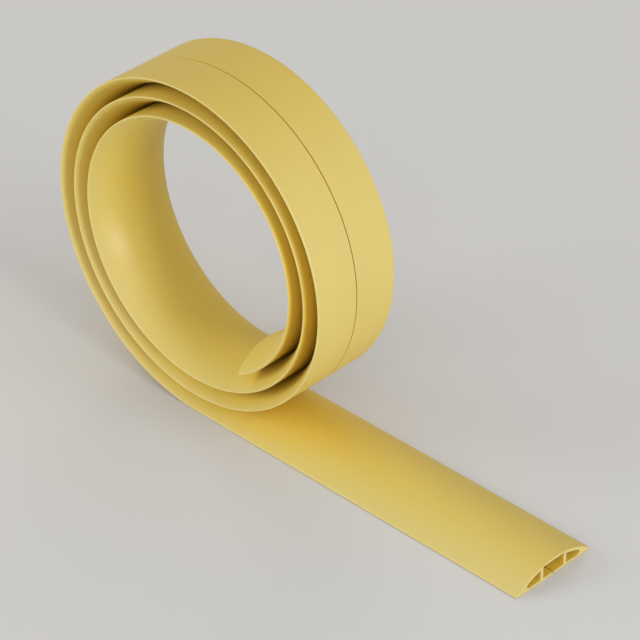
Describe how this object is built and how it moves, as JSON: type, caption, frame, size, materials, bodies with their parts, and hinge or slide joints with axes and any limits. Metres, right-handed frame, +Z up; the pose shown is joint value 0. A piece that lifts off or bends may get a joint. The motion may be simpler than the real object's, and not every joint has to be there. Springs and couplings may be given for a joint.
{
  "type": "floor cable cover",
  "caption": "Low domed floor strip with cable channels and a slit base, half unrolled: a loose upright coil with a flat run leading out of it.",
  "frame": {"origin": "on the floor, under the middle of the whole strip as it lies, coil and flat run together", "axes": "+X along the flat run towards its free end, +Y across the strip, +Z up from the floor"},
  "size_m": [0.3436, 0.058, 0.208],
  "materials": {
    "yellow_vinyl": "satin, smooth as extruded"
  },
  "bodies": {
    "root": {"cable_cover": "yellow_vinyl"}
  },
  "joints": []
}
